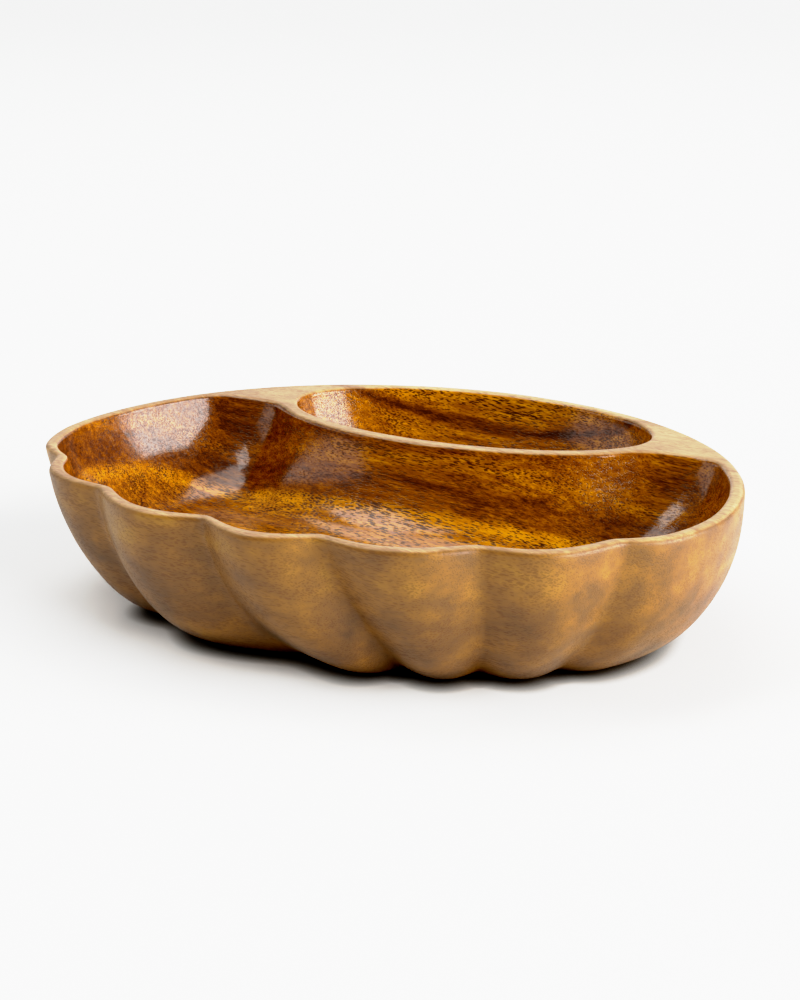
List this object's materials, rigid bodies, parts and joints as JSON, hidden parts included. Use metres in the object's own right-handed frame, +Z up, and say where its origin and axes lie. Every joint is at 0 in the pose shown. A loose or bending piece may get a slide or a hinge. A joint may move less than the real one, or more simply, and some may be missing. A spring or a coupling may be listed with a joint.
{
  "type": "chip and dip server",
  "caption": "Scallop-shell serving bowl carved from solid hardwood, with a curved divider between a broad fluted well for chips and an oval well for dip.",
  "frame": {"origin": "under the middle of the bowl, on the surface it stands on", "axes": "+X along the hinge of the shell, +Y from the scalloped front to the hinge side, +Z up"},
  "size_m": [0.3124, 0.2494, 0.066],
  "materials": {
    "varnished_hardwood": "clear varnish, glossy in the wells and satin on the outside"
  },
  "bodies": {
    "root": {"carved_bowl": "varnished_hardwood"}
  },
  "joints": []
}
